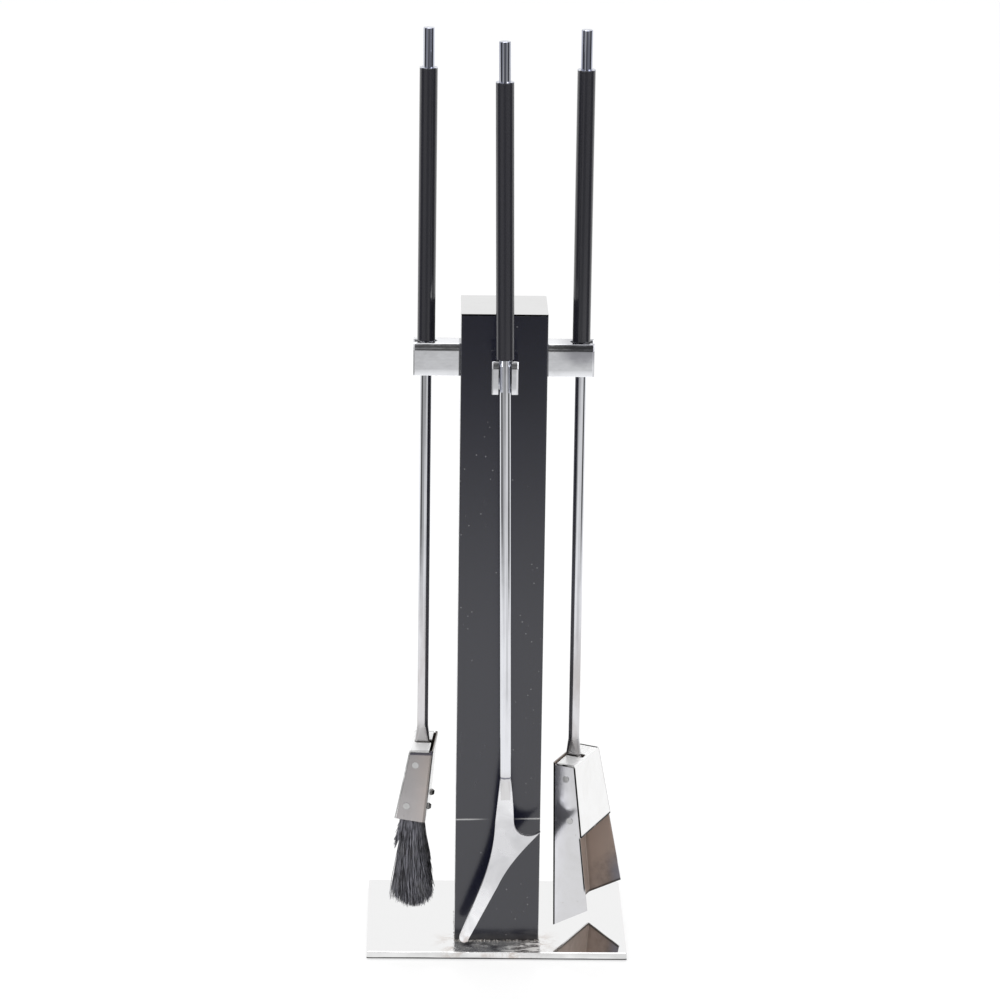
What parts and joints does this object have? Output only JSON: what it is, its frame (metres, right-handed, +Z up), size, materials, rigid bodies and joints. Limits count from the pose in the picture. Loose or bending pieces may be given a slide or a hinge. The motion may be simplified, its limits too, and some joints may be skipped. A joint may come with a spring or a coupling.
{
  "type": "fireplace tool set",
  "caption": "Fireplace tool set: square black column on a steel base plate, with slotted brackets that hold a brush, a hooked poker and a hooded shovel by their handles.",
  "frame": {"origin": "centre of the underside of the base", "axes": "+Z up along the column; the poker hangs towards -Y, the brush towards -X and the shovel towards +X"},
  "size_m": [0.235, 0.1998, 0.836],
  "materials": {
    "steel": "polished, lightly scratched",
    "satin": "satin, worn by the fire",
    "sheet": "polished sheet steel with a warm tarnish",
    "black": "semi-gloss black paint",
    "grip": "gloss black lacquer",
    "dark": "oiled dark steel",
    "felt": "black felt",
    "wood": "plain beech block",
    "bristle": "black horsehair bristles"
  },
  "bodies": {
    "stand": {"base_plate": "steel", "base_pad": "felt", "column_tube": "black", "column_cap": "steel", "column_foot": "dark", "foot_screws": "dark", "bracket_left": "steel", "bracket_front": "steel", "bracket_right": "steel", "bracket_bolts": "dark"},
    "brush_seat": {"brush_washer": "steel"},
    "brush": {"brush_rod": "steel", "brush_sleeve": "grip", "brush_top_bush": "steel", "brush_bottom_bush": "dark", "brush_case": "sheet", "brush_hood": "sheet", "brush_pins": "sheet", "brush_block": "wood", "brush_screws": "dark", "brush_bristles": "bristle"},
    "poker_seat": {"poker_washer": "steel"},
    "poker": {"poker_rod": "steel", "poker_sleeve": "grip", "poker_top_bush": "steel", "poker_bottom_bush": "dark", "poker_blade": "satin"},
    "shovel_seat": {"shovel_washer": "steel"},
    "shovel": {"shovel_rod": "steel", "shovel_sleeve": "grip", "shovel_top_bush": "steel", "shovel_bottom_bush": "dark", "shovel_pan": "sheet", "shovel_hood": "sheet", "shovel_pins": "sheet"}
  },
  "joints": [
    {"name": "brush_slide", "type": "slide", "parent": "stand", "child": "brush_seat", "axis": [-1, 0, 0], "range_m": [-0.004, 0.06]},
    {"name": "brush_turn", "type": "hinge", "parent": "brush_seat", "child": "brush", "pos_m": [-0.0686, -0.0259, 0.5574], "axis": [0, 0, 1], "range_deg": [-28, 34]},
    {"name": "poker_slide", "type": "slide", "parent": "stand", "child": "poker_seat", "axis": [0, -1, 0], "range_m": [-0.007, 0.06]},
    {"name": "poker_turn", "type": "hinge", "parent": "poker_seat", "child": "poker", "pos_m": [0, -0.0975, 0.5574], "axis": [0, 0, 1], "range_deg": [-43, 37]},
    {"name": "shovel_slide", "type": "slide", "parent": "stand", "child": "shovel_seat", "axis": [1, 0, 0], "range_m": [-0.004, 0.06]},
    {"name": "shovel_turn", "type": "hinge", "parent": "shovel_seat", "child": "shovel", "pos_m": [0.0686, -0.0259, 0.5574], "axis": [0, 0, 1], "range_deg": [-14, 44]}
  ]
}
